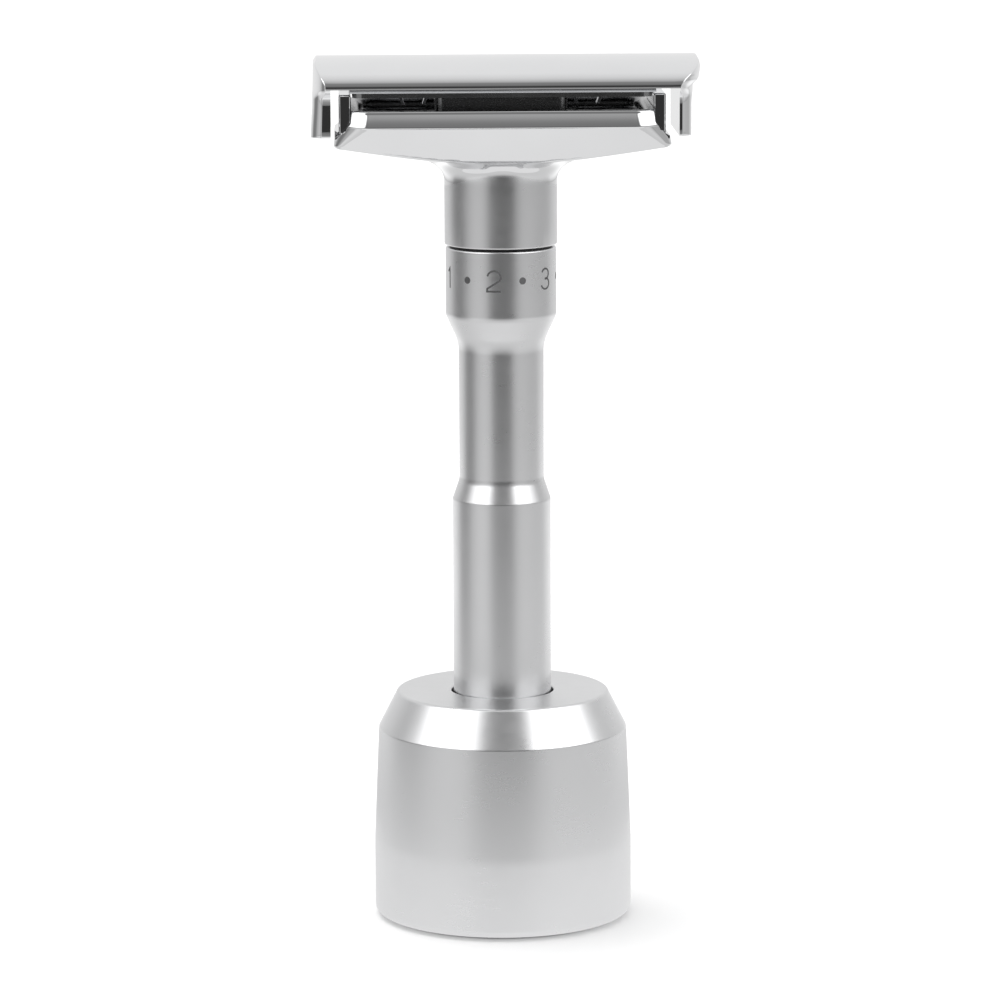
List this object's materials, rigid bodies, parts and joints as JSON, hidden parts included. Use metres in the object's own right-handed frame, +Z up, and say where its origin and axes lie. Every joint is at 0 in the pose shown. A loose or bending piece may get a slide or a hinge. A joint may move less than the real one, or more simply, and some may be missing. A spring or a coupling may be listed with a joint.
{
  "type": "safety razor",
  "caption": "Adjustable double-edge safety razor with a clip-on domed cap and a twist-dial handle, standing in a round metal stand.",
  "frame": {"origin": "bottom centre of the stand, where its foot pad meets the surface it stands on", "axes": "+Z up along the handle, +X along the razor head and blade, -Y towards the front"},
  "size_m": [0.0483, 0.0326, 0.1094],
  "materials": {
    "polished_chrome": "mirror-polished chrome plate",
    "satin_chrome": "satin chrome plate",
    "spring_steel": "plain spring steel",
    "blade_steel": "ground blade steel",
    "brass": "machined brass",
    "black_rubber": "matt black rubber",
    "black_plastic": "low-friction black plastic"
  },
  "bodies": {
    "stand": {"stand_body": "satin_chrome", "stand_foot_pad": "black_rubber", "socket_pad": "black_rubber"},
    "handle": {"handle_sleeve": "satin_chrome", "adjuster_nut": "brass", "handle_end_plug": "satin_chrome", "end_plug_seal": "black_rubber", "dial_washer": "black_plastic"},
    "guard": {"guard_body": "polished_chrome", "neck_o_ring": "black_rubber", "retaining_washer": "spring_steel", "retaining_clip": "spring_steel", "bed_spring": "spring_steel"},
    "bed": {"spindle": "spring_steel", "spring_seat_washer": "spring_steel", "blade_bed": "polished_chrome", "bed_screw": "spring_steel", "travel_stop_nut": "brass"},
    "blade": {"razor_blade": "blade_steel"},
    "cap": {"cap": "polished_chrome", "cap_clip_right": "spring_steel", "cap_clip_left": "spring_steel", "cap_clip_rivet_right": "spring_steel", "cap_clip_rivet_left": "spring_steel"}
  },
  "joints": [
    {"name": "razor_lift", "type": "slide", "parent": "stand", "child": "guard", "axis": [0, 0, 1], "range_m": [0, 0.04]},
    {"name": "dial_turn", "type": "hinge", "parent": "guard", "child": "handle", "pos_m": [0, 0, 0.0855], "axis": [0, 0, 1], "range_deg": [-48.7, 251.3]},
    {"name": "blade_rise", "type": "slide", "parent": "guard", "child": "bed", "axis": [0, 0, 1], "range_m": [-0.000698, 0.000135], "deforming": ["bed_spring"]},
    {"name": "cap_lift", "type": "slide", "parent": "bed", "child": "cap", "axis": [0, 0, 1], "range_m": [0, 0.024]},
    {"name": "blade_lift", "type": "slide", "parent": "bed", "child": "blade", "axis": [0, 0, 1], "range_m": [0, 0.012]}
  ],
  "couplings": [
    {"joint": "dial_turn", "follows": "blade_rise", "rad_per_m": -6283.2},
    {"joint": "blade_lift", "follows": "cap_lift", "ratio": 0.5}
  ]
}
